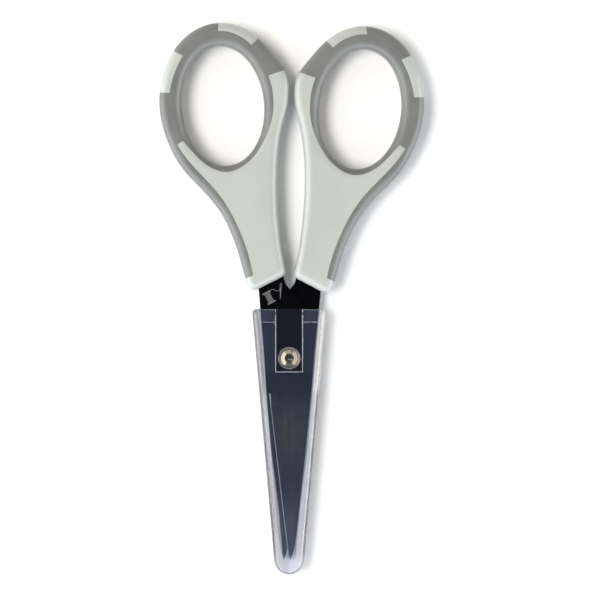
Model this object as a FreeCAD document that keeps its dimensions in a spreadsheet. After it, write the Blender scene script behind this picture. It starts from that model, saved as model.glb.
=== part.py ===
"""Small straight craft scissors (thread snips) with a clear slide-on sheath.

Two stamped blades turn on one domed rivet. Each blade has a hard plastic handle
moulded over its tang, and a soft grip moulded over the handle. The frame has its
origin on the pivot axis, at the height of the table that the scissors lie on:
+X to the right, +Y towards the finger loops, +Z up. Millimetres.
"""
import FreeCAD, Part
import math
import os

import Sketcher

Vector = FreeCAD.Vector

DRIVING_DIMENSIONS = (
    ("handle_thickness", 8.0, "handles, face to face"),
    ("handle_rim", 2.0, "rounding of the handles' outer edges"),
    ("handle_corner", 2.1, "rounding of the ferrule's corners, seen from above"),
    ("right_handle_drop", 0.5, "how much lower on its tang the right handle is moulded"),
    ("loop_hole_width", 21.2, "finger hole, short axis"),
    ("loop_hole_length", 31.0, "finger hole, long axis"),
    ("loop_outer_width", 33.2, "loop outline, short axis"),
    ("loop_outer_length", 42.8, "loop outline, long axis"),
    ("loop_tilt", 5.7, "how far each loop leans outwards, degrees"),
    ("loop_side", 17.75, "finger hole's centre from the middle line"),
    ("loop_reach", 65.1, "finger hole's centre from the pivot"),
    ("lining_rim", 2.3, "rounding of the soft lining round the finger hole"),
    ("grip_depth", 1.3, "thickness of the soft grip over the hard core"),
    ("blade_thickness", 1.5, "each blade"),
    ("blade_gap", 0.04, "running gap between the two blades"),
    ("ground_width", 0.55, "width of the bevel along a cutting edge"),
    ("ground_height", 1.3, "height of the bevel, which leaves a narrow land"),
    ("tang_eye", 3.6, "hole in each tang, filled by the handle's plastic"),
    ("rivet_shank", 3.0, "rivet shank"),
    ("rivet_fit", 0.03, "radial clearance of the shank in a blade"),
    ("rivet_head", 5.2, "domed head of the rivet"),
    ("head_side", 0.18, "straight side of the head, under its dome"),
    ("dome_height", 1.3, "height of the domed head"),
    ("tail_width", 4.2, "peened tail of the rivet"),
    ("tail_height", 0.5, "height of the peened tail"),
    ("washer_width", 5.9, "front cup washer and rear washer"),
    ("washer_thickness", 0.42, "each washer"),
    ("washer_gap", 0.03, "running gap between a washer and its blade"),
    ("sheath_mouth_y", 12.7, "open end of the sheath, above the pivot"),
    ("sheath_tip_y", 52.1, "centre of the sheath's round end, below the pivot"),
    ("sheath_tip_radius", 3.9, "round end of the sheath"),
    ("sheath_mouth_width", 19.24, "sheath across its mouth"),
    ("sheath_depth", 7.2, "sheath at its mouth, front to back"),
    ("tip_slope", 0.4, "how much thinner the sheath is at its end"),
    ("mouth_corner", 1.0, "rounding of the mouth's corners, seen from above"),
    ("sheath_edge", 1.5, "rounding of the sheath's long edges"),
    ("sheath_floor", 1.0, "back wall of the sheath"),
    ("sheath_room", 5.3, "free depth inside the sheath"),
    ("sheath_wall", 0.85, "side walls of the sheath"),
    ("guide_rail", 0.45, "extra thickness of the side walls beside the pivot"),
    ("guide_end_y", 6.2, "lower end of the guide rails, below the pivot"),
    ("collar_y", 9.25, "lower edge of the mouth collar"),
    ("collar_step", 0.3, "how far the collar stands out"),
    ("collar_edge", 0.24, "rounding of the collar's upper edges"),
    ("channel_width", 7.24, "rivet channel, outside"),
    ("channel_wall", 0.44, "side walls of the rivet channel"),
    ("channel_end_y", 3.65, "closed end of the rivet channel, below the pivot"),
    ("channel_top", 8.35, "outer height of the rivet channel"),
    ("channel_roof", 0.7, "roof of the rivet channel"),
    ("channel_edge", 0.35, "rounding of the channel's outer edges"),
    ("lip_bottom_y", 11.2, "lower edge of the lip across the channel"),
    ("lip_top_y", 12.0, "upper edge of the lip across the channel"),
    ("lip_step", 0.2, "how far the lip stands out"),
    ("root_overlap", 0.3, "how deep the collar and channel root in the front wall"),
    ("rest_lean", 0.58, "how far the scissors lie turned in the loose sheath, degrees"),
)

# The outline of the left half, from the ferrule's outer corner up the outside of
# the shank to the loop. The loop itself is an ellipse.
FERRULE_OUTER_CORNER = (-10.35, 16.75)
FERRULE_INNER_CORNER = (-0.75, 21.65)
SHANK_OUTSIDE = (
    (-11.9, 21.6), (-13.4, 26.8), (-15.4, 32.2), (-17.8, 36.9),
    (-20.6, 40.7), (-24.2, 44.5), (-27.8, 48.3),
)
LOOP_ANGLES = (120, 90, 60, 30, 0, -30)
LOOP_CENTRE_SHIFT = (0.15, 0.1)

# Down the inner side: the bumper that meets the other loop, then the slim waist.
SHANK_INSIDE = (
    (-4.6, 78.1), (-2.5, 75.4), (-0.95, 72.6), (-0.58, 69.4), (-0.8, 66.3),
    (-2.15, 60.6), (-3.1, 55.0), (-3.55, 47.0), (-3.3, 38.5), (-2.4, 30.0),
    (-1.6, 25.5),
)

# Hard plastic that shows as the wide pale face from the ferrule to the loop:
# its edge along the soft strip, then its edge round the soft lining.
STRIP_BORDER = (
    (-9.55, 21.3), (-10.5, 25.7), (-12.2, 30.7), (-14.5, 35.8),
    (-18.1, 41.6), (-22.5, 46.5), (-26.6, 50.9), (-29.4, 54.9),
)
LINING_BORDER = (
    (-28.0, 55.8), (-24.6, 52.1), (-20.6, 49.0), (-16.6, 47.95), (-12.6, 49.4),
    (-9.1, 52.7), (-6.5, 57.3), (-5.0, 62.0), (-4.75, 67.0), (-5.4, 71.0), (-6.05, 73.0),
)
FACE_TOP_OUTSIDE = (1.5, 75.6)
FACE_SIDE = (1.5, 14.0)
FACE_BOTTOM = (-14.0, 14.0)
STRIP_FOOT_OUTSIDE = (-14.0, 19.3)

# Two windows in the soft grip where the hard plastic shows: the inner edge of
# each, and its two corners beyond the outline of the loop.
TOP_WINDOW_EDGE = ((-19.25, 84.35), (-16.4, 84.15), (-13.6, 83.1), (-10.55, 80.85))
TOP_WINDOW_OUTSIDE = ((-6.2, 85.2), (-18.9, 89.5))
SIDE_WINDOW_EDGE = ((-28.2, 77.85), (-29.7, 75.0), (-30.9, 71.6), (-31.6, 68.2))
SIDE_WINDOW_OUTSIDE = ((-37.5, 68.5), (-33.8, 80.6))

# One blade, of the left half: round the tang, down the inner edge to the back of
# the blade, the tip, up the cutting edge and back to the tang.
TANG_OUTSIDE = ((-8.05, 17.8), (-8.6, 21.5), (-9.9, 27.0), (-12.0, 33.0))
TANG_END = ((-12.0, 33.0), (-11.4, 36.9), (-7.6, 35.6))
TANG_INSIDE = ((-7.6, 35.6), (-4.9, 29.0), (-2.9, 24.2), (-1.6, 21.2))
THROAT = ((-1.6, 21.2), (-1.3, 19.8), (-0.35, 18.3))
SHOULDER_LINE = ((-0.35, 18.3), (4.9, 12.0))
SHOULDER = ((4.9, 12.0), (6.55, 9.0), (6.85, 5.6))
BLADE_BACK = (
    (6.85, 5.6), (6.35, -1.0), (5.87, -8.0), (4.65, -22.0), (3.36, -36.0),
    (2.0, -48.0), (1.55, -50.2), (0.85, -52.25),
)
BLADE_POINT = ((0.85, -52.25), (0.42, -51.2), (0.12, -50.0))
CUTTING_EDGE = ((0.12, -50.0), (-5.15, -9.2))
RICASSO = ((-5.15, -9.2), (-5.45, -7.4), (-5.95, -6.4))
HEEL = ((-5.95, -6.4), (-6.5, 1.0), (-7.1, 7.6), (-7.6, 12.7), (-8.05, 17.8))
TANG_EYE_CENTRE = (-8.3, 30.0)

# How far a cutting shape runs on past the face that it cuts through.
PASS_THROUGH = 1.5

# The tail's bulge, as shares of its half width and height, then its flat end.
TAIL_BULGE = (0.8, 0.75)
TAIL_FLAT = 0.35

# How much of a washer's thickness its rounded rim takes.
WASHER_RIM = 0.8

# The outline of a handle is longer than this many finger holes, laid end to end.
OUTLINE_IN_HOLES = 4

# Lengths that differ by less than this are the same.
SAME = 0.0001

# A written file may differ from its solid by this share of the volume.
VOLUME_TOLERANCE = 0.001

doc = FreeCAD.newDocument("ThreadSnips")
sheet = doc.addObject("Spreadsheet::Sheet", "Dimensions")
for row, (alias, number, note) in enumerate(DRIVING_DIMENSIONS, start=1):
    sheet.set("A%d" % row, note)
    sheet.set("B%d" % row, str(number))
    sheet.setAlias("B%d" % row, alias)
doc.recompute()


def value(alias):
    """A driving dimension, as a plain number."""
    return float(sheet.get(alias))


def new_body(name):
    body = doc.addObject("PartDesign::Body", name)
    body.Label = name
    return body


def new_sketch(body, name, role="XY_Plane", height=None):
    """A sketch on one of the body's own origin planes, or at a bound height over it."""
    sketch = body.newObject("Sketcher::SketchObject", name)
    plane = [feature for feature in body.Origin.OriginFeatures if feature.Role == role][0]
    sketch.AttachmentSupport = (plane, [""])
    sketch.MapMode = "FlatFace"
    if height:
        sketch.setExpression("AttachmentOffset.Base.z", height)
    return sketch


def free_sketch(name):
    """A sketch in the XY plane that belongs to no body."""
    return doc.addObject("Sketcher::SketchObject", name)


def line(start, end):
    return Part.LineSegment(Vector(*start, 0), Vector(*end, 0))


def curve(points):
    """One smooth curve through the points."""
    spline = Part.BSplineCurve()
    spline.interpolate([Vector(*point, 0) for point in points])
    return spline


def add_path(sketch, *stretches):
    """Draw stretches end to end: two points make a line, more make a smooth curve."""
    for points in stretches:
        if len(points) == 2:
            sketch.addGeometry(line(*points), False)
        else:
            sketch.addGeometry(curve(points), False)


def add_polygon(sketch, points):
    for start, end in zip(points, points[1:] + points[:1]):
        sketch.addGeometry(line(start, end), False)


def add_hole(sketch, centre, diameter):
    """A circle whose diameter is bound to an expression of the sheet."""
    circle = Part.Circle(Vector(*centre, 0), Vector(0, 0, 1), 1.0)
    index = sketch.addGeometry(circle, False)
    constraint = sketch.addConstraint(Sketcher.Constraint("Diameter", index, 2.0))
    sketch.setExpression("Constraints[%d]" % constraint, diameter)


def loop_centre(shift=(0.0, 0.0)):
    return (-value("loop_side") + shift[0], value("loop_reach") + shift[1])


def loop_ellipse(extra):
    """The finger hole of the left half, grown all round by extra."""
    tilt = math.radians(value("loop_tilt"))
    along = Vector(-math.sin(tilt), math.cos(tilt), 0)
    across = Vector(-math.cos(tilt), -math.sin(tilt), 0)
    centre = Vector(*loop_centre(), 0)
    half_length = value("loop_hole_length") / 2 + extra
    half_width = value("loop_hole_width") / 2 + extra
    return Part.Ellipse(centre + along * half_length, centre + across * half_width, centre)


def loop_outline_points():
    """Points on the loop's outer ellipse, from its lower left over the top."""
    tilt = math.radians(value("loop_tilt"))
    centre_x, centre_y = loop_centre(LOOP_CENTRE_SHIFT)
    points = []
    for degrees in LOOP_ANGLES:
        angle = math.radians(degrees)
        along = value("loop_outer_length") / 2 * math.cos(angle)
        across = value("loop_outer_width") / 2 * math.sin(angle)
        x = centre_x - along * math.sin(tilt) - across * math.cos(tilt)
        y = centre_y + along * math.cos(tilt) - across * math.sin(tilt)
        points.append((x, y))
    return points


def handle_stretches():
    """The closed outline of the left handle: its long curve and the ferrule's front."""
    long_curve = [FERRULE_OUTER_CORNER]
    long_curve.extend(SHANK_OUTSIDE)
    long_curve.extend(loop_outline_points())
    long_curve.extend(SHANK_INSIDE)
    long_curve.append(FERRULE_INNER_CORNER)
    front = (FERRULE_INNER_CORNER, FERRULE_OUTER_CORNER)
    return long_curve, front


def pad(body, sketch, name, length):
    feature = body.newObject("PartDesign::Pad", name)
    feature.Profile = sketch
    feature.setExpression("Length", length)
    sketch.Visibility = False
    doc.recompute()
    return feature


def pocket(body, sketch, name, length):
    """Cut downwards from the sketch, and make sure that it does cut."""
    before = body.Shape.Volume
    feature = body.newObject("PartDesign::Pocket", name)
    feature.Profile = sketch
    feature.setExpression("Length", length)
    doc.recompute()
    if body.Shape.Volume >= before:
        raise RuntimeError(name + " removes nothing")
    return feature


def edge_names(shape, wanted):
    """Names of the edges of a shape for which wanted(edge) holds."""
    return ["Edge%d" % number for number, edge in enumerate(shape.Edges, start=1) if wanted(edge)]


def fillet(body, name, wanted, radius):
    """Round the edges of the body's last feature for which wanted(edge) holds."""
    base = body.Tip
    feature = body.newObject("PartDesign::Fillet", name)
    feature.Base = (base, edge_names(base.Shape, wanted))
    feature.setExpression("Radius", radius)
    doc.recompute()
    return feature


def is_level(edge):
    """An edge that lies flat, at one height."""
    return edge.BoundBox.ZLength < SAME


def is_upright(edge):
    return edge.BoundBox.XLength < SAME and edge.BoundBox.YLength < SAME


def is_finger_hole(edge):
    return is_level(edge) and isinstance(edge.Curve, Part.Ellipse)


def extrusion(name, sketch, half_height):
    """A prism through the middle plane, as far up as down."""
    prism = doc.addObject("Part::Extrusion", name)
    prism.Base = sketch
    prism.DirMode = "Custom"
    prism.Dir = Vector(0, 0, 1)
    prism.Solid = True
    prism.setExpression("LengthFwd", half_height)
    prism.setExpression("LengthRev", half_height)
    return prism


def combine(kind, name, base, tool):
    result = doc.addObject(kind, name)
    result.Base = base
    result.Tool = tool
    return result


def fuse_all(name, shapes):
    result = doc.addObject("Part::MultiFuse", name)
    result.Shapes = shapes
    return result


def place_half(piece, turned_over, drop=0.0):
    """Put a piece of the left half in place, or turn it over to make the right half's.

    drop moves it towards the blade's point.
    """
    lean = FreeCAD.Rotation(Vector(0, 0, 1), -value("rest_lean"))
    turn = FreeCAD.Rotation(Vector(0, 1, 0), 180.0 if turned_over else 0.0)
    piece.Placement = FreeCAD.Placement(lean.multVec(Vector(0, -drop, 0)), lean.multiply(turn))
    piece.setExpression("Placement.Base.z", "Dimensions.handle_thickness / 2")


def place_on_pivot(piece):
    piece.setExpression("Placement.Base.z", "Dimensions.handle_thickness / 2")


def handle_blank():
    """Handle and grip together, before the soft grip's share is taken out."""
    body = new_body("handle_blank")
    sketch = new_sketch(body, "handle_outline", height="-Dimensions.handle_thickness / 2")
    add_path(sketch, *handle_stretches())
    sketch.addGeometry(loop_ellipse(0.0), False)
    pad(body, sketch, "handle_slab", "Dimensions.handle_thickness")
    fillet(body, "ferrule_corners", is_upright_corner, "Dimensions.handle_corner")
    fillet(body, "lining_roundings", is_finger_hole, "Dimensions.lining_rim")
    fillet(body, "handle_roundings", is_outer_rim, "Dimensions.handle_rim")
    return body


def is_upright_corner(edge):
    """The two upright edges at the ends of the ferrule's front."""
    if not is_upright(edge):
        return False
    corners = (FERRULE_OUTER_CORNER, FERRULE_INNER_CORNER)
    foot = edge.Vertexes[0].Point
    return any(math.hypot(foot.x - x, foot.y - y) < SAME for x, y in corners)


def is_outer_rim(edge):
    """The long outline of either face. The fillet follows it round the ferrule's front."""
    on_face = abs(abs(edge.BoundBox.ZMin) - value("handle_thickness") / 2) < SAME
    long_edge = edge.Length > value("loop_hole_length") * OUTLINE_IN_HOLES
    return is_level(edge) and on_face and long_edge


def pale_face_zone():
    """The hard plastic's wide face, as a prism through the handle."""
    sketch = free_sketch("pale_face_outline")
    foot = (STRIP_FOOT_OUTSIDE, STRIP_BORDER[0])
    end = (STRIP_BORDER[-1], LINING_BORDER[0])
    rest = (LINING_BORDER[-1], FACE_TOP_OUTSIDE, FACE_SIDE, FACE_BOTTOM, STRIP_FOOT_OUTSIDE)
    add_path(sketch, foot, STRIP_BORDER, end, LINING_BORDER, *zip(rest, rest[1:]))
    return extrusion("pale_face_zone", sketch, "Dimensions.handle_thickness")


def window_zone(name, edge, outside):
    """One window in the soft grip, as a prism through the handle."""
    sketch = free_sketch(name + "_outline")
    corners = (edge[-1],) + outside + (edge[0],)
    add_path(sketch, edge, *zip(corners, corners[1:]))
    return extrusion(name, sketch, "Dimensions.handle_thickness")


def inset(points, depth):
    """The points of an open curve moved to its right-hand side by depth."""
    spline = curve(points)
    moved = []
    for x, y in points:
        tangent = spline.tangent(spline.parameter(Vector(x, y, 0)))[0]
        moved.append((x + tangent.y * depth, y - tangent.x * depth))
    return moved


def core_zone():
    """The hard core that runs on under the soft grip."""
    outline = free_sketch("core_outline")
    long_curve = inset(handle_stretches()[0], value("grip_depth"))
    add_path(outline, long_curve, (long_curve[-1], long_curve[0]))
    core_half = "Dimensions.handle_thickness / 2 - Dimensions.grip_depth"
    solid = extrusion("core_solid", outline, core_half)
    eye = free_sketch("core_eye_outline")
    eye.addGeometry(loop_ellipse(value("grip_depth")), False)
    hole = extrusion("core_eye", eye, "Dimensions.handle_thickness")
    return combine("Part::Cut", "core_zone", solid, hole)


def blade_stretches():
    return (
        TANG_OUTSIDE, TANG_END, TANG_INSIDE, THROAT, SHOULDER_LINE, SHOULDER,
        BLADE_BACK, BLADE_POINT, CUTTING_EDGE, RICASSO, HEEL,
    )


def tang_slot(side, rise):
    """The space that a tang takes up in its handle, higher up by rise."""
    sketch = free_sketch(side + "_tang_outline")
    sketch.setExpression("Placement.Base.y", rise)
    sketch.setExpression("Placement.Base.z", "Dimensions.blade_gap / 2")
    add_path(sketch, *blade_stretches())
    add_hole(sketch, TANG_EYE_CENTRE, "Dimensions.tang_eye")
    prism = doc.addObject("Part::Extrusion", side + "_tang_slot")
    prism.Base = sketch
    prism.DirMode = "Custom"
    prism.Dir = Vector(0, 0, 1)
    prism.Solid = True
    prism.FaceMakerClass = "Part::FaceMakerBullseye"
    prism.setExpression("LengthFwd", "Dimensions.blade_thickness")
    return prism


def handles_and_grips():
    """Both handles and both grips, cut from one blank so that they fit face to face."""
    blank = handle_blank()
    zones = [
        pale_face_zone(),
        window_zone("top_window", TOP_WINDOW_EDGE, TOP_WINDOW_OUTSIDE),
        window_zone("side_window", SIDE_WINDOW_EDGE, SIDE_WINDOW_OUTSIDE),
        core_zone(),
    ]
    hard_zone = fuse_all("hard_zone", zones)
    hard_share = combine("Part::Common", "hard_share", blank, hard_zone)
    slots = {
        "left": tang_slot("left", "0"),
        "right": tang_slot("right", "Dimensions.right_handle_drop"),
    }
    pieces = []
    for side, slot in slots.items():
        turned_over = side == "right"
        drop = value("right_handle_drop") if turned_over else 0.0
        handle = combine("Part::Cut", side + "_handle", hard_share, slot)
        grip = combine("Part::Cut", side + "_grip", blank, hard_zone)
        place_half(handle, turned_over, drop)
        place_half(grip, turned_over, drop)
        pieces.extend((handle, grip))
    return pieces


def blade(name, turned_over):
    """One stamped blade with its tang, rivet hole and ground cutting edge."""
    body = new_body(name)
    sketch = new_sketch(body, name + "_outline", height="Dimensions.blade_gap / 2")
    add_path(sketch, *blade_stretches())
    add_hole(sketch, (0.0, 0.0), "Dimensions.rivet_shank + 2 * Dimensions.rivet_fit")
    add_hole(sketch, TANG_EYE_CENTRE, "Dimensions.tang_eye")
    pad(body, sketch, name + "_plate", "Dimensions.blade_thickness")
    grind_edge(body, name)
    place_half(body, turned_over)
    return body


def grind_edge(body, name):
    """Take the corner off the outer face, all along the cutting edge and past the point."""
    point, heel = CUTTING_EDGE
    lean = math.degrees(math.atan2(point[0] - heel[0], heel[1] - point[1]))
    section = new_sketch(body, name + "_ground_section", role="XZ_Plane")
    turn = FreeCAD.Rotation(Vector(0, 1, 0), lean)
    section.AttachmentOffset = FreeCAD.Placement(Vector(heel[0], 0, -heel[1]), turn)
    face = value("blade_gap") / 2 + value("blade_thickness")
    width = value("ground_width")
    foot = face - value("ground_height")
    above = face + PASS_THROUGH
    add_polygon(section, [
        (width, face), (width, above), (-PASS_THROUGH, above), (-PASS_THROUGH, foot), (0.0, foot),
    ])
    before = body.Shape.Volume
    bevel = body.newObject("PartDesign::Pocket", name + "_ground_edge")
    bevel.Profile = section
    bevel.Reversed = True
    bevel.Length = math.dist(point, heel) + PASS_THROUGH
    doc.recompute()
    if body.Shape.Volume >= before:
        raise RuntimeError(name + " keeps its square edge")


def turned(name, profile):
    """A piece turned about the pivot axis, from stretches of (radius, height)."""
    body = new_body(name)
    sketch = new_sketch(body, name + "_profile", role="XZ_Plane")
    for geometry in profile:
        sketch.addGeometry(geometry, False)
    revolution = body.newObject("PartDesign::Revolution", name + "_turning")
    revolution.Profile = sketch
    revolution.ReferenceAxis = (sketch, ["V_Axis"])
    revolution.Angle = 360.0
    doc.recompute()
    place_on_pivot(body)
    return body


def washer_seat():
    """Height of a washer's inner face over the middle plane."""
    return value("blade_gap") / 2 + value("blade_thickness") + value("washer_gap")


def profile_lines(points):
    return [line(start, end) for start, end in zip(points, points[1:])]


def arc(start, middle, end):
    return Part.Arc(Vector(*start, 0), Vector(*middle, 0), Vector(*end, 0))


def pivot_rivet():
    """Domed head, shank through both blades, and a tail peened over the rear washer."""
    shank = value("rivet_shank") / 2
    head = value("rivet_head") / 2
    tail = value("tail_width") / 2
    head_seat = washer_seat() + value("washer_thickness")
    dome_foot = head_seat + value("head_side")
    dome_top = head_seat + value("dome_height")
    dome_rise = dome_top - dome_foot
    dome_radius = (head ** 2 + dome_rise ** 2) / (2 * dome_rise)
    half_way = math.asin(head / dome_radius) / 2
    dome_centre = dome_top - dome_radius
    dome_middle = (dome_radius * math.sin(half_way), dome_centre + dome_radius * math.cos(half_way))
    tail_end = -head_seat - value("tail_height")
    tail_middle = (tail * TAIL_BULGE[0], -head_seat - value("tail_height") * TAIL_BULGE[1])
    tail_flat = (tail * TAIL_FLAT, tail_end)
    profile = profile_lines(((0.0, dome_top), (0.0, tail_end), tail_flat))
    profile.append(arc(tail_flat, tail_middle, (tail, -head_seat)))
    profile.extend(profile_lines((
        (tail, -head_seat), (shank, -head_seat), (shank, head_seat), (head, head_seat),
        (head, dome_foot),
    )))
    profile.append(arc((head, dome_foot), dome_middle, (0.0, dome_top)))
    return turned("pivot_rivet", profile)


def washer(name, side):
    """A pressed washer with a rounded rim; side is 1 in front, -1 behind."""
    inner = value("rivet_shank") / 2 + value("rivet_fit")
    outer = value("washer_width") / 2
    seat = side * washer_seat()
    crown = side * (washer_seat() + value("washer_thickness"))
    rim = value("washer_thickness") * WASHER_RIM
    half_way = rim * (1 - math.sqrt(0.5))
    rim_middle = (outer - half_way, crown - side * half_way)
    shoulder = (outer - rim, crown)
    rim_foot = (outer, crown - side * rim)
    profile = profile_lines(((inner, crown), (inner, seat), (outer, seat), rim_foot))
    profile.append(arc(rim_foot, rim_middle, shoulder))
    profile.extend(profile_lines((shoulder, (inner, crown))))
    return turned(name, profile)


def sheath_taper():
    """Angle of each side of the sheath to the middle line, in radians.

    Each side runs from the corner of the mouth, and touches the round end.
    """
    half_mouth = value("sheath_mouth_width") / 2
    length = value("sheath_mouth_y") + value("sheath_tip_y")
    to_centre = math.hypot(half_mouth, length)
    return math.atan2(half_mouth, length) - math.asin(value("sheath_tip_radius") / to_centre)


def sheath_half_width(y, wall=0.0):
    """Half width of the sheath at y above the pivot, inside its outer side by wall."""
    taper = sheath_taper()
    above_centre = y + value("sheath_tip_y")
    radius = value("sheath_tip_radius") - wall
    return (radius + above_centre * math.sin(taper)) / math.cos(taper)


def sheath_outline(wall, top, step=None):
    """Plan of the sheath, drawn inside its outer side by wall, up to the height top.

    step is (y, extra wall above y), for the guide rails.
    """
    taper = sheath_taper()
    tip_y = -value("sheath_tip_y")
    radius = value("sheath_tip_radius") - wall
    touch = (radius * math.cos(taper), tip_y - radius * math.sin(taper))
    side = [touch]
    if step:
        step_y, extra = step
        side.append((sheath_half_width(step_y, wall), step_y))
        wall = wall + extra
        side.append((sheath_half_width(step_y, wall), step_y))
    side.append((sheath_half_width(top, wall), top))
    geometry = profile_lines(side)
    geometry.extend(profile_lines([(-x, y) for x, y in side]))
    geometry.append(line(side[-1], (-side[-1][0], top)))
    geometry.append(arc(touch, (0.0, tip_y - radius), (-touch[0], touch[1])))
    return geometry


def is_mouth_corner(edge):
    return is_upright(edge) and abs(edge.BoundBox.YMax - value("sheath_mouth_y")) < SAME


def is_sheath_long_edge(edge):
    """The edges that run along the sheath's sides and round its end."""
    return not is_upright(edge) and edge.BoundBox.YLength > SAME


def rectangle(half_width, bottom, top):
    return [(-half_width, bottom), (half_width, bottom), (half_width, top), (-half_width, top)]


def sheath():
    """Clear sheath: tapered shell with a mouth collar and a raised channel for the rivet."""
    body = new_body("sheath")
    mouth_y = value("sheath_mouth_y")
    plan = new_sketch(body, "sheath_plan")
    for geometry in sheath_outline(0.0, mouth_y):
        plan.addGeometry(geometry, False)
    pad(body, plan, "sheath_block", "Dimensions.sheath_depth")
    cut_front_slope(body)
    fillet(body, "mouth_corners", is_mouth_corner, "Dimensions.mouth_corner")
    fillet(body, "long_edges", is_sheath_long_edge, "Dimensions.sheath_edge")
    add_collar(body)
    add_channel_shell(body)
    hollow_out(body)
    return body


def cut_front_slope(body):
    """Make the sheath a little thinner from its mouth to its end."""
    depth = value("sheath_depth")
    mouth_y = value("sheath_mouth_y")
    tip_y = -value("sheath_tip_y") - value("sheath_tip_radius")
    slope = new_sketch(body, "sheath_slope", role="YZ_Plane")
    add_polygon(slope, [
        (mouth_y, depth), (tip_y, depth - value("tip_slope")),
        (tip_y, depth + PASS_THROUGH), (mouth_y, depth + PASS_THROUGH),
    ])
    before = body.Shape.Volume
    cut = body.newObject("PartDesign::Pocket", "sheath_front_slope")
    cut.Profile = slope
    cut.Type = "ThroughAll"
    cut.Midplane = True
    doc.recompute()
    if body.Shape.Volume >= before:
        raise RuntimeError("the front slope removes nothing")


def add_collar(body):
    """A low flat collar across the front of the mouth."""
    root = "Dimensions.sheath_floor + Dimensions.sheath_room + Dimensions.root_overlap"
    collar = new_sketch(body, "collar_plan", height=root)
    mouth_y = value("sheath_mouth_y")
    half_width = value("sheath_mouth_width") / 2 - value("sheath_edge")
    add_polygon(collar, rectangle(half_width, value("collar_y"), mouth_y))
    height = "Dimensions.sheath_depth + Dimensions.collar_step - (%s)" % root
    pad(body, collar, "mouth_collar", height)
    fillet(body, "collar_roundings", is_collar_top_edge, "Dimensions.collar_edge")


def is_collar_top_edge(edge):
    top = value("sheath_depth") + value("collar_step")
    return is_level(edge) and abs(edge.BoundBox.ZMin - top) < SAME


def add_channel_shell(body):
    """The raised channel over the rivet, with a lip across it near the mouth."""
    root = "Dimensions.sheath_floor + Dimensions.sheath_room + Dimensions.root_overlap"
    mouth_y = value("sheath_mouth_y")
    outside = value("channel_width") / 2
    shell = new_sketch(body, "channel_plan", height=root)
    add_polygon(shell, rectangle(outside, -value("channel_end_y"), mouth_y))
    pad(body, shell, "channel_shell", "Dimensions.channel_top - (%s)" % root)
    fillet(body, "channel_roundings", is_channel_top_edge, "Dimensions.channel_edge")
    lip = new_sketch(body, "lip_plan", height=root)
    lip_half_width = outside + value("lip_step")
    add_polygon(lip, rectangle(lip_half_width, value("lip_bottom_y"), value("lip_top_y")))
    pad(body, lip, "channel_lip", "Dimensions.channel_top + Dimensions.lip_step - (%s)" % root)


def is_channel_top_edge(edge):
    on_top = is_level(edge) and abs(edge.BoundBox.ZMin - value("channel_top")) < SAME
    return on_top and edge.BoundBox.YMin < value("sheath_mouth_y") - SAME


def hollow_out(body):
    """The room for the blades, and the deeper room for the rivet's head."""
    room_top = "Dimensions.sheath_floor + Dimensions.sheath_room"
    mouth_y = value("sheath_mouth_y")
    rails = (-value("guide_end_y"), value("guide_rail"))
    room = new_sketch(body, "room_plan", height=room_top)
    for geometry in sheath_outline(value("sheath_wall"), mouth_y + PASS_THROUGH, rails):
        room.addGeometry(geometry, False)
    pocket(body, room, "blade_room", "Dimensions.sheath_room")
    channel_height = "Dimensions.channel_top - Dimensions.channel_roof"
    channel = new_sketch(body, "channel_room_plan", height=channel_height)
    inside = value("channel_width") / 2 - value("channel_wall")
    end_y = -value("channel_end_y") + value("channel_wall")
    add_polygon(channel, rectangle(inside, end_y, mouth_y + PASS_THROUGH))
    depth = "%s - (%s)" % (channel_height, room_top)
    pocket(body, channel, "rivet_room", depth)


def check_and_write(pieces):
    """Refuse a failed feature or a broken solid, then write one file for each piece."""
    doc.recompute()
    for item in doc.Objects:
        if "Invalid" in item.State or "Error" in item.State:
            raise RuntimeError("%s is in state %s" % (item.Name, item.State))
    os.makedirs("parts", exist_ok=True)
    for piece in pieces:
        shape = piece.Shape
        if shape.isNull() or not shape.isValid():
            raise RuntimeError(piece.Label + " has no valid shape")
        path = "parts/%s.step" % piece.Label
        shape.exportStep(path)
        written = Part.Shape()
        written.read(path)
        print("%-12s %d solid, %8.2f mm3" % (piece.Label, len(written.Solids), written.Volume))
        if len(written.Solids) != 1 or abs(written.Volume / shape.Volume - 1) > VOLUME_TOLERANCE:
            raise RuntimeError(piece.Label + " is not one closed solid once written")


pieces = [blade("upper_blade", False), blade("lower_blade", True)]
pieces.extend(handles_and_grips())
pieces.append(pivot_rivet())
pieces.append(washer("front_washer", 1))
pieces.append(washer("rear_washer", -1))
pieces.append(sheath())
check_and_write(pieces)
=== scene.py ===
import math

import bmesh
import bpy
from mathutils import Matrix, Vector


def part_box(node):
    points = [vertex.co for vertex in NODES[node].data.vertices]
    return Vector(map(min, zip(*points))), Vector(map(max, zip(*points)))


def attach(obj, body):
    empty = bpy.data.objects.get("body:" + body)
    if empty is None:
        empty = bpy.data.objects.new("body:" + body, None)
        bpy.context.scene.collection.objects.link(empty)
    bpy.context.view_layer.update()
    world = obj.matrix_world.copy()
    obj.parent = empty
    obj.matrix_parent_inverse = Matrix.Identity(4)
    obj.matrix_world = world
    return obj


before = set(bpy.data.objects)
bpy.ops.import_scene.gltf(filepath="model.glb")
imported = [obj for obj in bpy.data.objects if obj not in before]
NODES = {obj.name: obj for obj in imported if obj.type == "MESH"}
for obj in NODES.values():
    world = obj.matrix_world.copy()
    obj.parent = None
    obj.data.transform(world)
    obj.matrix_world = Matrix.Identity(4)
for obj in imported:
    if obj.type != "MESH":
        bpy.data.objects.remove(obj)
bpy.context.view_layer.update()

MM = 0.001
MID_HEIGHT = (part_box("left_handle")[0][2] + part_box("left_handle")[1][2]) / 2

# Pairs of noise levels: a pattern has its first look below them and its second above.
CRISP = (0.35, 0.65)
EVEN = (0.3, 0.7)
SOFT = (0.2, 0.8)


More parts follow.
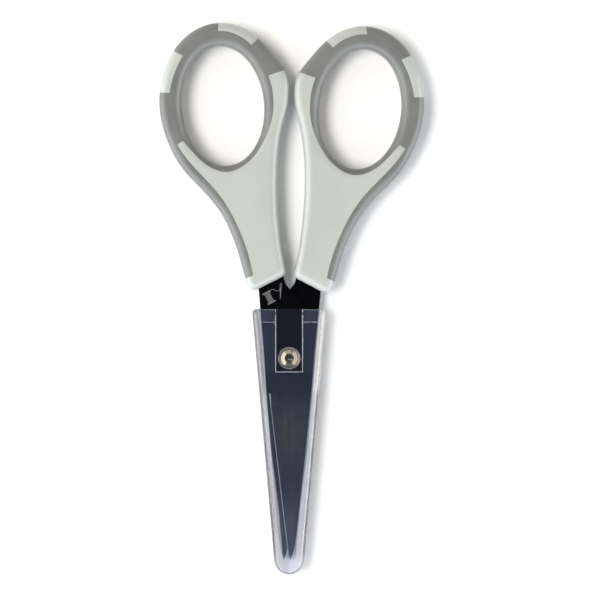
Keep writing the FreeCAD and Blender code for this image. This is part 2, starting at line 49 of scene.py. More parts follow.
# ---------------------------------------------------------------- node recipes
class Recipe:
    """One node tree, built a node at a time."""

    def __init__(self, name, tree=None):
        if tree is None:
            self.material = bpy.data.materials.new(name)
            self.material.use_nodes = True
            tree = self.material.node_tree
        self.tree = tree
        self.tree.nodes.clear()

    def add(self, kind, inputs=None, **settings):
        node = self.tree.nodes.new(kind)
        for name, setting in settings.items():
            setattr(node, name, setting)
        for socket, source in (inputs or {}).items():
            self.feed(node.inputs[socket], source)
        return node

    def feed(self, socket, source):
        if isinstance(source, bpy.types.NodeSocket):
            self.tree.links.new(source, socket)
        else:
            socket.default_value = source

    def place(self):
        """Position in the object's own frame, in metres."""
        return self.add("ShaderNodeTexCoord").outputs["Object"]

    def facing_up(self):
        """1 where the surface faces straight up or down, 0 where it stands upright."""
        normal = self.add("ShaderNodeTexCoord").outputs["Normal"]
        return self.calc("ABSOLUTE", self.split(normal)[2])

    def split(self, vector):
        return self.add("ShaderNodeSeparateXYZ", {"Vector": vector}).outputs

    def calc(self, operation, first, *others):
        """One operation on one value, or on each further value and the result so far."""
        if not others:
            return self.add("ShaderNodeMath", {0: first}, operation=operation).outputs[0]
        for other in others:
            first = self.add("ShaderNodeMath", {0: first, 1: other}, operation=operation).outputs[0]
        return first

    def product(self, *factors):
        return self.calc("MULTIPLY", *factors)

    def outside(self, zone):
        """1 where the zone is 0, and 0 where it is 1."""
        return self.calc("SUBTRACT", 1.0, zone)

    def distance(self, across, along):
        """Distance from the origin of a point in a plane."""
        squares = [self.calc("POWER", side, 2.0) for side in (across, along)]
        return self.calc("SQRT", self.calc("ADD", *squares))

    def stretched(self, vector, scale):
        return self.add("ShaderNodeMapping", {"Vector": vector, "Scale": scale}).outputs[0]

    def noise(self, vector, size, detail=2.0, roughness=0.5, distortion=0.0):
        """Cloudy variation with patches of about that size, in metres."""
        inputs = {
            "Vector": vector, "Scale": 1.0 / size, "Detail": detail,
            "Roughness": roughness, "Distortion": distortion,
        }
        return self.add("ShaderNodeTexNoise", inputs).outputs["Fac"]

    def smooth(self, value, start, end, low=0.0, high=1.0):
        """low before start, high after end, and a soft step between."""
        inputs = {"Value": value, "From Min": start, "From Max": end, "To Min": low, "To Max": high}
        node = self.add("ShaderNodeMapRange", inputs, interpolation_type="SMOOTHSTEP")
        return node.outputs[0]

    def blend(self, zone, low, high):
        """low outside the zone, and high inside it."""
        return self.smooth(zone, 0.0, 1.0, low, high)

    def near(self, value, middle, core, edge):
        """1 within core of middle, 0 beyond edge, and a soft step between."""
        off = self.calc("ABSOLUTE", self.calc("SUBTRACT", value, middle))
        return self.smooth(off, core, edge, 1.0, 0.0)

    def tint(self, zone, outside, inside):
        """One colour outside the zone, the other inside it."""
        node = self.add("ShaderNodeMix", data_type="RGBA")
        for socket, source in ((node.inputs[0], zone), (node.inputs[6], outside), (node.inputs[7], inside)):
            if isinstance(source, tuple):
                source = source + (1.0,)
            self.feed(socket, source)
        return node.outputs[2]

    def bump(self, height, distance, strength, under=None):
        inputs = {"Height": height, "Distance": distance, "Strength": strength}
        if under is not None:
            inputs["Normal"] = under
        return self.add("ShaderNodeBump", inputs).outputs[0]

    def vector_calc(self, operation, inputs, output="Vector"):
        return self.add("ShaderNodeVectorMath", inputs, operation=operation).outputs[output]

    def finish(self, shader):
        output = self.add("ShaderNodeOutputMaterial")
        self.tree.links.new(shader, output.inputs["Surface"])
        return self.material


# ------------------------------------------------------------ handles and grips
HANDLE_SHADES = ((0.402, 0.421, 0.398), (0.424, 0.443, 0.419))
GRIP_SHADES = ((0.140, 0.144, 0.139), (0.158, 0.162, 0.154))
SEAM_HALF_WIDTH = (0.02 * MM, 0.09 * MM)
SEAM_HEIGHT = 0.03 * MM


def with_seam(r, place, under):
    """Add the seam of the mould, half way up the side walls."""
    seam = r.near(r.split(place)[2], MID_HEIGHT, *SEAM_HALF_WIDTH)
    return r.bump(seam, SEAM_HEIGHT, 1.0, under)


def handle_plastic():
    """Moulded off-white plastic: satin, with a faint orange peel and a mould seam."""
    r = Recipe("handle_plastic")
    place = r.place()
    cloud = r.noise(place, 14 * MM, detail=3.0)
    grain = r.noise(place, 0.16 * MM)
    peel = r.noise(place, 0.9 * MM, detail=1.0)
    bump = r.bump(grain, 0.006 * MM, 0.5)
    bump = r.bump(peel, 0.012 * MM, 0.5, bump)
    shader = r.add("ShaderNodeBsdfPrincipled", {
        "Base Color": r.tint(r.smooth(cloud, *CRISP), *HANDLE_SHADES),
        "Roughness": r.smooth(cloud, *EVEN, 0.34, 0.42),
        "IOR": 1.5,
        "Normal": with_seam(r, place, bump),
    })
    return r.finish(shader.outputs[0])


def soft_grip():
    """Dull grey rubber with a fine pebbled texture and a mould seam."""
    r = Recipe("soft_grip")
    place = r.place()
    cloud = r.noise(place, 9 * MM, detail=3.0)
    pebble = r.add("ShaderNodeTexVoronoi", {
        "Vector": place, "Scale": 1.0 / (0.28 * MM), "Smoothness": 0.6,
    }, feature="SMOOTH_F1").outputs["Distance"]
    grain = r.noise(place, 0.12 * MM)
    bump = r.bump(pebble, 0.012 * MM, 0.5)
    bump = r.bump(grain, 0.006 * MM, 0.5, bump)
    shader = r.add("ShaderNodeBsdfPrincipled", {
        "Base Color": r.tint(r.smooth(cloud, *CRISP), *GRIP_SHADES),
        "Roughness": r.smooth(cloud, *EVEN, 0.38, 0.48),
        "IOR": 1.5,
        "Sheen Weight": 0.3,
        "Sheen Roughness": 0.35,
        "Normal": with_seam(r, place, bump),
    })
    return r.finish(shader.outputs[0])


# ------------------------------------------------------------------------ metals
COAT_BLACK = (0.0018, 0.0018, 0.0024)
COAT_HAZE = (0.014, 0.014, 0.010)
STEEL_SHADES = ((0.42, 0.44, 0.49), (0.58, 0.60, 0.66))
ETCHED_SHADES = ((0.12, 0.112, 0.118), (0.165, 0.155, 0.16))
NICKEL_SHADES = ((0.74, 0.70, 0.61), (0.82, 0.79, 0.71))

# A bevel faces up or down by about this much: more than the first pair, less than the second.
BEVEL_SLOPE = ((0.25, 0.32), (0.55, 0.7))

# How far from the middle height the bare strip reaches: along the blade, then above HEEL.
BARE_REACH = (0.68 * MM, 1.15 * MM)
BARE_EDGE = (-0.04 * MM, 0.08 * MM)
HEEL = (-13 * MM, -9.5 * MM)

# Where along the blade the coating turns hazy, and where it turns clean again.
HAZE_STARTS = (-34 * MM, -16 * MM)
HAZE_ENDS = (-16 * MM, -4 * MM)
HAZE_LEVELS = (0.3, 0.8)
EDGE_METALLIC = 0.4

TURNING_PITCH = 0.07 * MM


def ground_edge(r, along, up):
    """1 on the bright strip where the bevel's coating is ground off."""
    tilt = r.facing_up()
    slanted = r.product(r.smooth(tilt, *BEVEL_SLOPE[0]), r.smooth(tilt, *BEVEL_SLOPE[1], 1.0, 0.0))
    from_middle = r.calc("ABSOLUTE", r.calc("SUBTRACT", up, MID_HEIGHT))
    beyond = r.calc("SUBTRACT", from_middle, r.smooth(along, *HEEL, *BARE_REACH))
    return r.product(slanted, r.smooth(beyond, *BARE_EDGE, 1.0, 0.0))


def coated_blade():
    """Black non-stick coating over a lengthwise brushed blank, with a bare ground edge."""
    r = Recipe("coated_blade")
    place = r.place()
    along, up = r.split(place)[1:3]
    brushed = r.noise(r.stretched(place, (1.0, 0.05, 1.0)), 0.12 * MM, detail=3.0)
    mottle = r.noise(place, 2.4 * MM, detail=4.0, roughness=0.6)
    scratches = r.noise(r.stretched(place, (0.06, 1.0, 1.0)), 0.05 * MM)
    hazy = r.product(
        r.smooth(along, *HAZE_STARTS), r.smooth(along, *HAZE_ENDS, 1.0, 0.0), r.smooth(mottle, *HAZE_LEVELS),
    )
    coat = r.tint(hazy, COAT_BLACK, COAT_HAZE)
    steel = r.tint(r.smooth(scratches, *CRISP), *STEEL_SHADES)
    ground = ground_edge(r, along, up)
    shader = r.add("ShaderNodeBsdfPrincipled", {
        "Base Color": r.tint(ground, coat, steel),
        "Metallic": r.product(ground, EDGE_METALLIC),
        "Roughness": r.smooth(mottle, *EVEN, 0.16, 0.22),
        "Specular IOR Level": 0.06,
        "Normal": r.bump(brushed, 0.004 * MM, 0.4),
    })
    return r.finish(shader.outputs[0])


def etched_metal():
    """Grey laser marking on the coating."""
    r = Recipe("etched_metal")
    speckle = r.noise(r.place(), 0.10 * MM, detail=3.0)
    shader = r.add("ShaderNodeBsdfPrincipled", {
        "Base Color": r.tint(r.smooth(speckle, *EVEN), *ETCHED_SHADES),
        "Roughness": r.smooth(speckle, *EVEN, 0.6, 0.75),
        "Normal": r.bump(speckle, 0.004 * MM, 0.5),
    })
    return r.finish(shader.outputs[0])


def polished_nickel():
    """Bright warm plating with fine turning rings and a few hairline scratches."""
    r = Recipe("polished_nickel")
    place = r.place()
    radius = r.distance(*r.split(place)[0:2])
    rings = r.calc("SINE", r.product(radius, 2 * math.pi / TURNING_PITCH))
    hair = r.noise(r.stretched(place, (1.0, 0.04, 1.0)), 0.05 * MM)
    cloud = r.noise(place, 0.9 * MM)
    bump = r.bump(rings, 0.0006 * MM, 0.3)
    bump = r.bump(hair, 0.001 * MM, 0.3, bump)
    shader = r.add("ShaderNodeBsdfPrincipled", {
        "Base Color": r.tint(r.smooth(cloud, *EVEN), *NICKEL_SHADES),
        "Metallic": 1.0,
        "Roughness": r.smooth(cloud, *EVEN, 0.02, 0.045),
        "Normal": bump,
    })
    return r.finish(shader.outputs[0])


# ---------------------------------------------------------------- clear sheath
# Sizes and places in the sheath's own frame: X across, Y along it, its tip at -Y.
TIP_RADIUS = 3.9 * MM
TIP_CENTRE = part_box("sheath")[0][1] + TIP_RADIUS
SHEATH_TAPER = 0.088
CHANNEL_SIDE = 3.4 * MM
CHANNEL_END = -3.43 * MM
CHANNEL_EDGE = 0.2 * MM
COLLAR_LINE = 9.2 * MM
CENTRE_BAND = (-1 * MM, 1 * MM)

# The side walls: thickness towards the tip and above it, and where the solid end starts.
WALL_THICKNESS = (2.3 * MM, 1.65 * MM)
WALL_THINS = (-42 * MM, -20 * MM)
WALL_EDGE = (-0.3 * MM, 0.3 * MM)
SOLID_END = (-53.0 * MM, -50.5 * MM)

# The painted shade on the rounded rim: how far in it reaches, how much further on the left, and its fainter
# tip.
RIM_REACH = (0.35 * MM, 0.85 * MM)
LEFT_RIM_EXTRA = 0.20 * MM
RIM_TIP = (-55 * MM, -48 * MM)
RIM_TIP_SHARE = 0.3

# Painted light and shade along the walls: where the left wall is painted in shade and the right one painted
# lit.
SHADE_STARTS = (-18 * MM, -3 * MM)
SHADE_BELOW = 0.2
LIGHT_STARTS = (-10 * MM, -7 * MM)

# Places on the front: a clearer stretch just below the channel, and a hazy patch further down.
CLEARER_STARTS = (-14 * MM, -7 * MM)
CLEARER_ENDS = (-3.7 * MM, -3.5 * MM)
PATCH_STARTS = (-29 * MM, -21 * MM)
PATCH_ENDS = (-19 * MM, -9 * MM)
PATCH_HALF_WIDTH = (1.5 * MM, 5 * MM)

# How the veil changes along the sheath: from, to, and its factors before and after.
VEIL_STEPS = (
    (-46 * MM, -30 * MM, 2.2, 1.0),
    (-30 * MM, -5 * MM, 1.35, 1.0),
    (COLLAR_LINE - 0.1 * MM, COLLAR_LINE + 0.1 * MM, 1.0, 1.6),
)
CLEARER_VEIL = 0.45
PATCH_VEIL = 1.15

# The same for the walls' milk, and its factors where the left wall is painted in shade and where the right
# one is painted lit.
MILK_STEP = (-40 * MM, -5 * MM, 0.20, 0.26)
SHADED_MILK = 1.9
LIT_MILK_GAIN = 1.15

# The moulded lines: half widths of their core and edge, and the strength of the faint ones.
SIDE_LINE = (0.04 * MM, 0.20 * MM)
END_LINE = (0.01 * MM, 0.14 * MM)
STEP_LINE = (0.01 * MM, 0.12 * MM)
END_STRENGTH = 0.2
STEP_STRENGTH = 0.25

# Heights: the skin of the back, the start of the front wall, the front's moulded
# lines, and the front's outer face.
BACK_SKIN = (0.05 * MM, 0.3 * MM)
FRONT_WALL = (5.3 * MM, 5.7 * MM)
FRONT_LINES = (6.0 * MM, 6.4 * MM)
FRONT_FACE = (6.4 * MM, 6.6 * MM)

# Base colours, which tint what is seen through the plastic.
SIDE_MILK = (0.92, 0.91, 0.90)
FRONT_BLOOM = (0.68, 0.80, 1.0)
WARM_HAZE = (0.82, 0.88, 0.86)
WALL_MILK = (0.87, 0.88, 0.95)
# Painted shade for the left wall near the mouth; the next colour is painted light for the right wall near
# it.
PAINTED_SHADE_GREY = (0.32, 0.32, 0.35)
PAINTED_LIGHT_MILK = (0.99, 0.95, 0.91)
# Painted shade on the rounded rim; the next colour adds more painted shade on its left side.
PAINTED_RIM_SHADE = (0.24, 0.235, 0.26)
PAINTED_LEFT_RIM_SHADE = (0.08, 0.08, 0.09)

# What the plastic lets through of the light that falls on things behind it.
THROUGH_FRONT = (0.90, 0.90, 0.91)
THROUGH_SIDE = (0.50, 0.50, 0.51)


class SheathZones:
    """Parts of the sheath: each is 1 there, 0 elsewhere, and soft at its edges."""

    def __init__(self, r, place):
        across, along, up = r.split(place)
        half_across = r.calc("ABSOLUTE", across)
        inward = from_rim(r, across, along)
        self.along = along
        self.upright = r.smooth(r.facing_up(), 0.25, 0.8, 1.0, 0.0)
        self.flat = r.outside(self.upright)
        self.left = r.smooth(across, *CENTRE_BAND, 1.0, 0.0)
        self.wall = wall_zone(r, inward, along)
        self.rim = rim_shade_zone(r, inward, across, along)
        self.front = r.smooth(up, *FRONT_WALL)
        self.faces = r.calc("MAXIMUM", self.front, r.smooth(up, *BACK_SKIN, 1.0, 0.0))
        beside_end = r.smooth(half_across, CHANNEL_SIDE - CHANNEL_EDGE, CHANNEL_SIDE, 1.0, 0.0)
        above_end = r.smooth(along, CHANNEL_END, CHANNEL_END + CHANNEL_EDGE)
        channel = r.product(beside_end, above_end)
        self.lines = r.product(
            moulded_lines(r, half_across, along, beside_end, above_end), r.smooth(up, *FRONT_LINES),
        )
        self.outer_front = r.product(r.smooth(up, *FRONT_FACE), self.flat, r.outside(channel))
        # Where the left wall is painted in shade and the right one painted lit.
        self.shaded = r.product(self.left, r.smooth(along, *SHADE_STARTS, SHADE_BELOW, 1.0))
        self.lit = r.product(r.outside(self.left), r.smooth(along, *LIGHT_STARTS))
        self.clearer = r.product(r.smooth(along, *CLEARER_STARTS), r.smooth(along, *CLEARER_ENDS, 1.0, 0.0))
        self.patch = r.product(
            r.smooth(along, *PATCH_STARTS), r.smooth(along, *PATCH_ENDS, 1.0, 0.0),
            r.smooth(half_across, *PATCH_HALF_WIDTH, 1.0, 0.0), self.outer_front,
        )


def from_rim(r, across, along):
    """Distance inward from the outer side of the sheath, seen from the front."""
    above_tip = r.calc("SUBTRACT", along, TIP_CENTRE)
    off_middle = r.distance(across, r.calc("MINIMUM", above_tip, 0.0))
    widening = r.product(r.calc("MAXIMUM", above_tip, 0.0), SHEATH_TAPER)
    return r.calc("SUBTRACT", r.calc("ADD", widening, TIP_RADIUS), off_middle)


def wall_zone(r, inward, along):
    """The side walls, thicker towards the tip, and the solid end."""
    inner_side = r.smooth(along, *WALL_THINS, *WALL_THICKNESS)
    walls = r.smooth(r.calc("SUBTRACT", inward, inner_side), *WALL_EDGE, 1.0, 0.0)
    return r.calc("MAXIMUM", walls, r.smooth(along, *SOLID_END, 1.0, 0.0))


def rim_shade_zone(r, inward, across, along):
    """Painted shade along the rounded outer rim, a little wider on the left and fainter round the tip."""
    wider = r.smooth(across, *CENTRE_BAND, LEFT_RIM_EXTRA, 0.0)
    rim = r.smooth(r.calc("SUBTRACT", inward, wider), *RIM_REACH, 1.0, 0.0)
    return r.product(rim, r.smooth(along, *RIM_TIP, RIM_TIP_SHARE, 1.0))


def moulded_lines(r, half_across, along, beside_end, above_end):
    """The fine lines where the channel and the collar rise from the front."""
    sides = r.product(r.near(half_across, CHANNEL_SIDE, *SIDE_LINE), above_end)
    end = r.product(r.near(along, CHANNEL_END, *END_LINE), beside_end, END_STRENGTH)
    on_collar = r.near(along, COLLAR_LINE, *STEP_LINE)
    collar = r.product(on_collar, r.calc("SUBTRACT", STEP_STRENGTH, beside_end))
    return r.calc("MAXIMUM", sides, end, collar)


def front_veil(r, zones, flow):
    """Faint clouding of the front: more towards the tip and on the collar, less in the clearer stretch."""
    return r.product(
        zones.outer_front, r.smooth(flow, *SOFT, 0.012, 0.020),
        *[r.smooth(zones.along, *step) for step in VEIL_STEPS],
        r.blend(zones.clearer, 1.0, CLEARER_VEIL), r.blend(zones.patch, 1.0, PATCH_VEIL),
    )


def wall_milk(r, zones, flow):
    """Milky scatter in the walls, much more of it where the left wall is painted in shade, and a little more
    where the right one is painted lit.
    """
    return r.product(
        zones.wall, zones.front, r.smooth(flow, *SOFT, 0.75, 1.0), r.smooth(zones.along, *MILK_STEP),
        r.blend(zones.shaded, 1.0, SHADED_MILK), r.blend(zones.lit, 1.0, LIT_MILK_GAIN),
    )


def sheath_colour(r, zones):
    """Layers of tint, each where all its zones meet and over the layers before it."""
    layers = (
        ((zones.outer_front,), FRONT_BLOOM),
        ((zones.patch,), WARM_HAZE),
        ((zones.wall, zones.faces), WALL_MILK),
        # Painted shade on the left wall, then painted light on the right one.
        ((zones.wall, zones.faces, zones.shaded), PAINTED_SHADE_GREY),
        ((zones.wall, zones.faces, zones.lit), PAINTED_LIGHT_MILK),
        # Painted shade on the rim, then more of it on the left.
        ((zones.rim, zones.faces, r.outside(zones.lit)), PAINTED_RIM_SHADE),
        ((zones.rim, zones.faces, zones.left, 0.5), PAINTED_LEFT_RIM_SHADE),
    )
    colour = SIDE_MILK
    for shares, layer in layers:
        share = r.product(*shares) if len(shares) > 1 else shares[0]
        colour = r.tint(share, colour, layer)
    return colour


def clear_plastic():
    """Clear moulded plastic: a bluish veil on the front, milky walls, painted shade on the rims and the left
    wall, and painted light on the right wall.
    """
    r = Recipe("clear_plastic")
    place = r.place()
    zones = SheathZones(r, place)
    flow = r.noise(r.stretched(place, (1.0, 0.035, 1.0)), 0.6 * MM, detail=3.0, distortion=0.1)
    ripple = r.noise(place, 4.0 * MM, detail=1.0)
    frost = r.calc(
        "ADD", r.blend(zones.upright, 0.0, 0.10), r.blend(zones.lines, 0.0, 0.05),
        wall_milk(r, zones, flow), front_veil(r, zones, flow),
    )
    surface = r.add("ShaderNodeBsdfPrincipled", {
        "Base Color": sheath_colour(r, zones),
        "Roughness": r.smooth(r.calc("ADD", ripple, zones.upright), 0.3, 1.7, 0.03, 0.20),
        "IOR": 1.45,
        "Transmission Weight": r.outside(frost),
        "Coat Weight": r.product(zones.outer_front, r.blend(zones.wall, 1.0, 0.3)),
        "Coat Roughness": 0.03,
        "Coat IOR": 1.65,
        "Normal": r.bump(r.product(ripple, zones.flat), 0.010 * MM, 0.3),
    }).outputs[0]
    passed = r.tint(zones.upright, THROUGH_FRONT, THROUGH_SIDE)
    let_through = r.add("ShaderNodeBsdfTransparent", {"Color": passed}).outputs[0]
    paths = r.add("ShaderNodeLightPath").outputs
    for path in ("Is Shadow Ray", "Is Diffuse Ray"):
        surface = r.add("ShaderNodeMixShader", {0: paths[path], 1: surface, 2: let_through}).outputs[0]
    return r.finish(surface)


def dress(names, material):
    for name in names:
        mesh = NODES[name].data
        mesh.materials.clear()
        mesh.materials.append(material)


dress(("left_handle", "right_handle"), handle_plastic())
dress(("left_grip", "right_grip"), soft_grip())
dress(("upper_blade", "lower_blade"), coated_blade())
dress(("pivot_rivet", "front_washer", "rear_washer"), polished_nickel())
dress(("sheath",), clear_plastic())


# ----------------------------------------------------------- marking on a blade
# The pictogram is drawn in millimetres about its own centre, then set on the blade.
MARK_CENTRE = (-3.9 * MM, 16.4 * MM)
MARK_TURN = 28.0
MARK_THICKNESS = 0.012 * MM
BLADE_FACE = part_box("upper_blade")[1][2]
FLANGE_SPAN = (-2.6, -0.3)
FLANGE_HEIGHT = 1.42
FLANGE_END = 0.1
FLANGE_WIDTHS = (0.2, 0.36, 0.36, 0.2)
WINDING_SPAN = (-2.2, -0.7)
WINDING_RISE = 0.06
WINDING_WIDTH = 0.24
WINDINGS = 6
WINDING_PITCH = 0.4
NEEDLE_POINT = Vector((0.9, -1.7))
NEEDLE_HEAD = Vector((2.5, 1.0))
NEEDLE_STEPS = 8
POINT_WIDTH = 0.05
SHAFT_SWELL = 0.27
EYE_CENTRE = 0.42
EYE_RADII = (0.5, 0.2)
EYE_STEPS = 20
EYE_LINE = 0.13
THREAD_START = (-0.7, 1.0)
THREAD_REACH = 3.2
THREAD_WAVE = 0.55
THREAD_TURNS = 1.1
THREAD_DROP = 0.1
THREAD_STEPS = 24
THREAD_WIDTH = 0.12


def ribbon(bm, path, widths, closed=False):
    """A flat strip along the path, in millimetres, as wide at each point as widths says."""
    rows = []
    last = len(path) - 1
    for i, (x, y) in enumerate(path):
        before = path[i - 1] if i > 0 or closed else path[0]
        after = path[(i + 1) % len(path)] if i < last or closed else path[last]
        way = Vector((after[0] - before[0], after[1] - before[1])).normalized()
        side = Vector((-way.y, way.x)) * widths[i] / 2
        rows.append([bm.verts.new((x + side.x * k, y + side.y * k, 0.0)) for k in (-1, 1)])
    pairs = list(zip(rows, rows[1:]))
    if closed:
        pairs.append((rows[-1], rows[0]))
    for (a, b), (d, c) in pairs:
        bm.faces.new((a, d, c, b))


def spool(bm):
    """Two flanges, and turns of thread between them."""
    left, right = FLANGE_SPAN
    stations = (left, left + FLANGE_END, right - FLANGE_END, right)
    for height in (-FLANGE_HEIGHT, FLANGE_HEIGHT):
        ribbon(bm, [(x, height) for x in stations], FLANGE_WIDTHS)
    left, right = WINDING_SPAN
    for turn in range(WINDINGS):
        height = (turn - (WINDINGS - 1) / 2) * WINDING_PITCH
        ends = [(left, height - WINDING_RISE), (right, height + WINDING_RISE)]
        ribbon(bm, ends, [WINDING_WIDTH] * len(ends))


def needle(bm):
    """A slanted needle that thickens from its point to its open eye."""
    along = (NEEDLE_HEAD - NEEDLE_POINT).normalized()
    across = Vector((-along.y, along.x))
    shares = [step / NEEDLE_STEPS for step in range(NEEDLE_STEPS + 1)]
    shaft = [tuple(NEEDLE_POINT.lerp(NEEDLE_HEAD, share)) for share in shares]
    ribbon(bm, shaft, [POINT_WIDTH + SHAFT_SWELL * math.sqrt(share) for share in shares])
    eye = []
    for step in range(EYE_STEPS):
        angle = 2 * math.pi * step / EYE_STEPS
        ahead = along * (EYE_CENTRE + EYE_RADII[0] * math.cos(angle))
        eye.append(tuple(NEEDLE_HEAD + ahead + across * EYE_RADII[1] * math.sin(angle)))
    ribbon(bm, eye, [EYE_LINE] * len(eye), closed=True)


def loose_thread(bm):
    """A wavy thread from the spool to the needle's eye."""
    thread = []
    for step in range(THREAD_STEPS + 1):
        share = step / THREAD_STEPS
        wave = THREAD_WAVE * math.sin(2 * math.pi * THREAD_TURNS * share)
        ahead = THREAD_START[0] + THREAD_REACH * share
        thread.append((ahead, THREAD_START[1] + wave - THREAD_DROP * share))
    ribbon(bm, thread, [THREAD_WIDTH] * len(thread))


def blade_mark():
    """A small sewing pictogram, marked on the upper blade beside the ferrule."""
    bm = bmesh.new()
    spool(bm)
    needle(bm)
    loose_thread(bm)
    mesh = bpy.data.meshes.new("blade_mark")
    bm.to_mesh(mesh)
    bm.free()
    turn = Matrix.Rotation(math.radians(MARK_TURN), 4, "Z")
    place = Matrix.Translation((*MARK_CENTRE, BLADE_FACE))
    mesh.transform(place @ turn @ Matrix.Scale(MM, 4))
    mark = bpy.data.objects.new("blade_mark", mesh)
    bpy.context.scene.collection.objects.link(mark)
    shell = mark.modifiers.new("thickness", "SOLIDIFY")
    shell.thickness = MARK_THICKNESS
    shell.offset = 1.0
    mesh.materials.append(etched_metal())
    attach(mark, "left_half")


blade_mark()


# --------------------------------------------------------------- floor and sky
FLOOR_HALF = 3.0
FLOOR_DROP = 0.02 * MM
FLOOR_SHADES = ((0.90, 0.90, 0.90), (0.92, 0.92, 0.92))
FLOOR_GLOW = (0.92, 0.96, 1.0, 1.0)

# Colours of the studio by direction: all round, beyond the loops, and overhead.
AMBIENT = (0.135, 0.135, 0.14)
BEYOND_LOOPS = (0.07, 0.07, 0.075)
OVERHEAD = (0.012, 0.012, 0.014)
BACKDROP = (0.92, 0.93, 0.94)
SIDE_PANELS = (1.62, 1.50, 1.28)

# On a unit sphere: where the sky changes towards the loops, and where it does overhead.
TOWARDS_LOOPS = (0.1, 0.8)
TOWARDS_TOP = (0.80, 0.94)

# The pale panels' lower and upper edges, each a pair of heights on a unit sphere.
PANEL_FOOT = (math.sin(math.radians(12)), math.sin(math.radians(19)))
PANEL_TOP = (math.sin(math.radians(46)), math.sin(math.radians(52)))

# Their upright edges, in parts of a level direction, and the dimmer ones' shares.
PANEL_SIDES = (0.45, 0.62)
PANEL_BEYOND = (0.86, 0.94)
BEYOND_SHARE = 0.5
LEFT_TO_RIGHT = (-0.5, 0.5)
RIGHT_SHARE = 0.55

# Direction, the angles off it in degrees where a glow starts to fade and ends, colour.
GLOWS = (
    ((0.00, 0.00, 1.00), 5, 11, (0.13, 0.15, 0.27)),
    ((0.37, -0.22, 0.90), 1.5, 3.5, (7.0, 7.0, 7.0)),
    ((0.00, -0.19, 0.98), 1.5, 3.5, (5.0, 5.0, 5.4)),
)

WARM = (1.0, 0.985, 0.965)
BLUISH = (0.72, 0.85, 1.0)
COOL = (0.88, 0.92, 1.0)

# Name, azimuth and elevation in degrees, distance, width and height, power, colour.
# Lamps light the surfaces; windows show only as reflections.
LAMPS = (
    ("key", 178, 66, 1.10, 0.66, 0.41, 9.8, WARM),
    ("front_fill", 270, 9, 1.0, 0.68, 0.33, 6.5, BLUISH),
    ("left_fill", 183, 9, 1.0, 0.68, 0.33, 6.5, BLUISH),
    ("right_fill", 354, 9, 1.0, 0.68, 0.33, 6.3, BLUISH),
)
WINDOWS = (
    ("front_window", 270, 24, 1.0, 2.2, 0.75, 21.0, COOL),
    ("left_window", 190, 22, 1.0, 1.1, 0.65, 9.0, COOL),
    ("right_window", 352, 22, 1.0, 1.1, 0.65, 11.0, WARM),
)


def floor():
    """Plain white table top that glows a little, which keeps its shadows pale."""
    mesh = bpy.data.meshes.new("floor")
    corners = [(x * FLOOR_HALF, y * FLOOR_HALF, 0.0) for x, y in ((-1, -1), (1, -1), (1, 1), (-1, 1))]
    mesh.from_pydata(corners, [], [(0, 1, 2, 3)])
    plane = bpy.data.objects.new("floor", mesh)
    plane.location.z = -FLOOR_DROP
    bpy.context.scene.collection.objects.link(plane)
    r = Recipe("floor")
    paper = r.noise(r.place(), 0.4)
    shader = r.add("ShaderNodeBsdfPrincipled", {
        "Base Color": r.tint(paper, *FLOOR_SHADES),
        "Roughness": 0.8,
        "Specular IOR Level": 0.1,
        "Emission Color": FLOOR_GLOW,
        "Emission Strength": 0.075,
    })
    mesh.materials.append(r.finish(shader.outputs[0]))


def pale_panels(r, direction):
    """Share of a pale panel in a direction: one at each side, a dim one beyond the loops."""
    across, along, up = r.split(direction)
    level = r.distance(across, along)
    sides = r.smooth(r.calc("DIVIDE", r.calc("ABSOLUTE", across), level), *PANEL_SIDES)
    beyond = r.smooth(r.calc("DIVIDE", along, level), *PANEL_BEYOND, 0.0, BEYOND_SHARE)
    weaker_right = r.smooth(across, *LEFT_TO_RIGHT, 1.0, RIGHT_SHARE)
    return r.product(
        r.smooth(up, *PANEL_FOOT), r.smooth(up, *PANEL_TOP, 1.0, 0.0), weaker_right,
        r.calc("MAXIMUM", sides, beyond),
    )


def glow(r, direction, middle, core, edge):
    """Share of a round glow in a direction; core and edge are angles off its middle."""
    facing = r.vector_calc("DOT_PRODUCT", {0: direction, 1: Vector(middle).normalized()}, "Value")
    return r.smooth(facing, math.cos(math.radians(edge)), math.cos(math.radians(core)))


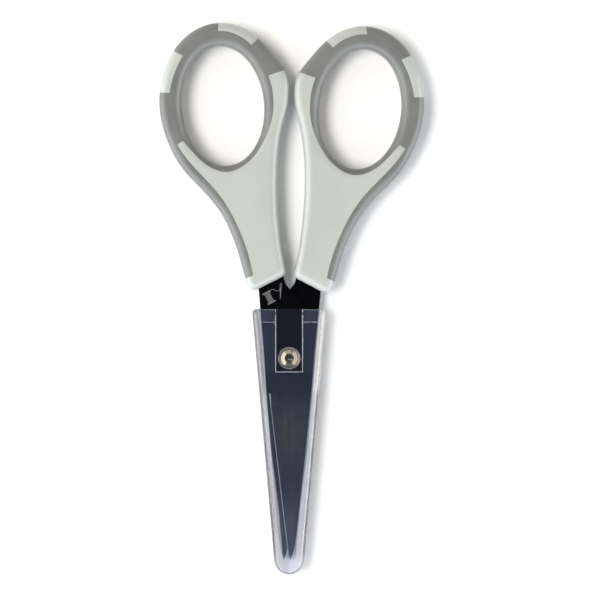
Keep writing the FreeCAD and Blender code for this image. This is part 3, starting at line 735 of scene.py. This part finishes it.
def sky():
    """A dim studio that is dark overhead, with pale panels and a few small glows."""
    world = bpy.data.worlds.new("studio")
    bpy.context.scene.world = world
    world.use_nodes = True
    r = Recipe("studio", world.node_tree)
    direction = r.add("ShaderNodeTexCoord").outputs["Generated"]
    along, up = r.split(direction)[1:3]
    light = r.tint(r.smooth(along, *TOWARDS_LOOPS), AMBIENT, BEYOND_LOOPS)
    light = r.tint(r.smooth(up, *TOWARDS_TOP), light, OVERHEAD)
    parts = [(SIDE_PANELS, pale_panels(r, direction))]
    for middle, core, edge, colour in GLOWS:
        parts.append((colour, glow(r, direction, middle, core, edge)))
    for colour, share in parts:
        part = r.vector_calc("SCALE", {0: colour, "Scale": share})
        light = r.vector_calc("ADD", {0: light, 1: part})
    seen = r.add("ShaderNodeLightPath").outputs["Is Camera Ray"]
    background = r.add("ShaderNodeBackground", {"Color": r.tint(seen, light, BACKDROP), "Strength": 1.0})
    output = r.add("ShaderNodeOutputWorld")
    r.tree.links.new(background.outputs[0], output.inputs["Surface"])


def softbox(name, azimuth, elevation, distance, width, height, power, colour):
    """A panel that faces the rivet. Azimuth 0 is +X and 90 is +Y."""
    light = bpy.data.lights.new(name, "AREA")
    light.shape = "RECTANGLE"
    light.size = width
    light.size_y = height
    light.energy = power
    light.color = colour
    panel = bpy.data.objects.new(name, light)
    a = math.radians(azimuth)
    e = math.radians(elevation)
    way = Vector((math.cos(a) * math.cos(e), math.sin(a) * math.cos(e), math.sin(e)))
    panel.location = way * distance
    panel.rotation_mode = "QUATERNION"
    panel.rotation_quaternion = way.to_track_quat("Z", "Y")
    panel.visible_camera = False
    panel.visible_transmission = False
    bpy.context.scene.collection.objects.link(panel)
    return panel


def lighting():
    for lamp in LAMPS:
        softbox(*lamp).visible_glossy = False
    for window in WINDOWS:
        softbox(*window).visible_diffuse = False


floor()
sky()
lighting()


# ---------------------------------------------------------------------- camera
VIEW_CENTRE = (2.81 * MM, 15.07 * MM)
VIEW_WIDTH = 155.4 * MM
VIEW_HEIGHT = 1.2


def camera():
    """A long lens straight above, square to the floor."""
    data = bpy.data.cameras.new("camera")
    data.lens = data.sensor_width * VIEW_HEIGHT / VIEW_WIDTH
    data.clip_start = 0.05
    data.clip_end = 10.0
    eye = bpy.data.objects.new("camera", data)
    eye.location = (*VIEW_CENTRE, MID_HEIGHT + VIEW_HEIGHT)
    bpy.context.scene.collection.objects.link(eye)
    bpy.context.scene.camera = eye


camera()
bpy.context.scene.view_settings.view_transform = "Standard"
